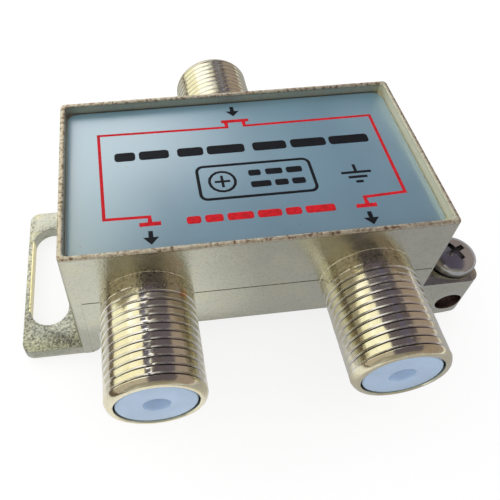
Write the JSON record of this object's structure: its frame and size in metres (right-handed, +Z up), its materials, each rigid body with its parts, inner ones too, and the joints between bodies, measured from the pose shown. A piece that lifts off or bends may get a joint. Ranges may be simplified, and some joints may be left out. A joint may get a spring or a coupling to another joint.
{
  "type": "coaxial splitter",
  "caption": "Coaxial signal splitter: die-cast metal box with threaded input and output sockets, a slotted mounting ear, and an earth terminal with a clamping screw.",
  "frame": {"origin": "centre of the footprint, on the mounting plane that the feet, ear and terminal stand on", "axes": "+X from the slotted ear to the earth terminal, +Y from the output sockets to the input socket, +Z up from the mounting plane to the label"},
  "size_m": [0.051, 0.0434, 0.0182],
  "materials": {
    "nickel_plated_zinc": "nickel plated, satin with a fine cast grain",
    "tinned_steel": "dull tinned",
    "label_foil": "printed satin foil",
    "white_plastic": "satin",
    "tinned_bronze": "bright",
    "zinc_plated_steel": "bright zinc plated",
    "board_laminate": "matte",
    "ferrite": "matte",
    "enamelled_copper": "glossy enamel",
    "resistor_lacquer": "satin lacquer",
    "ceramic_disc": "matte",
    "diode_glass": "glossy"
  },
  "bodies": {
    "splitter": {"housing": "nickel_plated_zinc", "label": "label_foil", "back_cover": "tinned_steel", "input_insulator": "white_plastic", "output_insulator_left": "white_plastic", "output_insulator_right": "white_plastic", "input_contact": "tinned_bronze", "output_contact_left": "tinned_bronze", "output_contact_right": "tinned_bronze", "circuit_board": "board_laminate", "transformer_core": "ferrite", "transformer_winding": "enamelled_copper", "divider_core": "ferrite", "divider_winding": "enamelled_copper", "isolation_resistor": "resistor_lacquer", "input_capacitor": "ceramic_disc", "output_capacitor_left": "ceramic_disc", "output_capacitor_right": "ceramic_disc", "power_choke_left": "enamelled_copper", "power_choke_right": "enamelled_copper", "power_diode_left": "diode_glass", "power_diode_right": "diode_glass"},
    "clamping_screw": {"ground_screw": "zinc_plated_steel"}
  },
  "joints": [
    {"name": "screw_travel", "type": "slide", "parent": "splitter", "child": "clamping_screw", "axis": [0, 0, 1], "range_m": [0, 0.0036]}
  ]
}
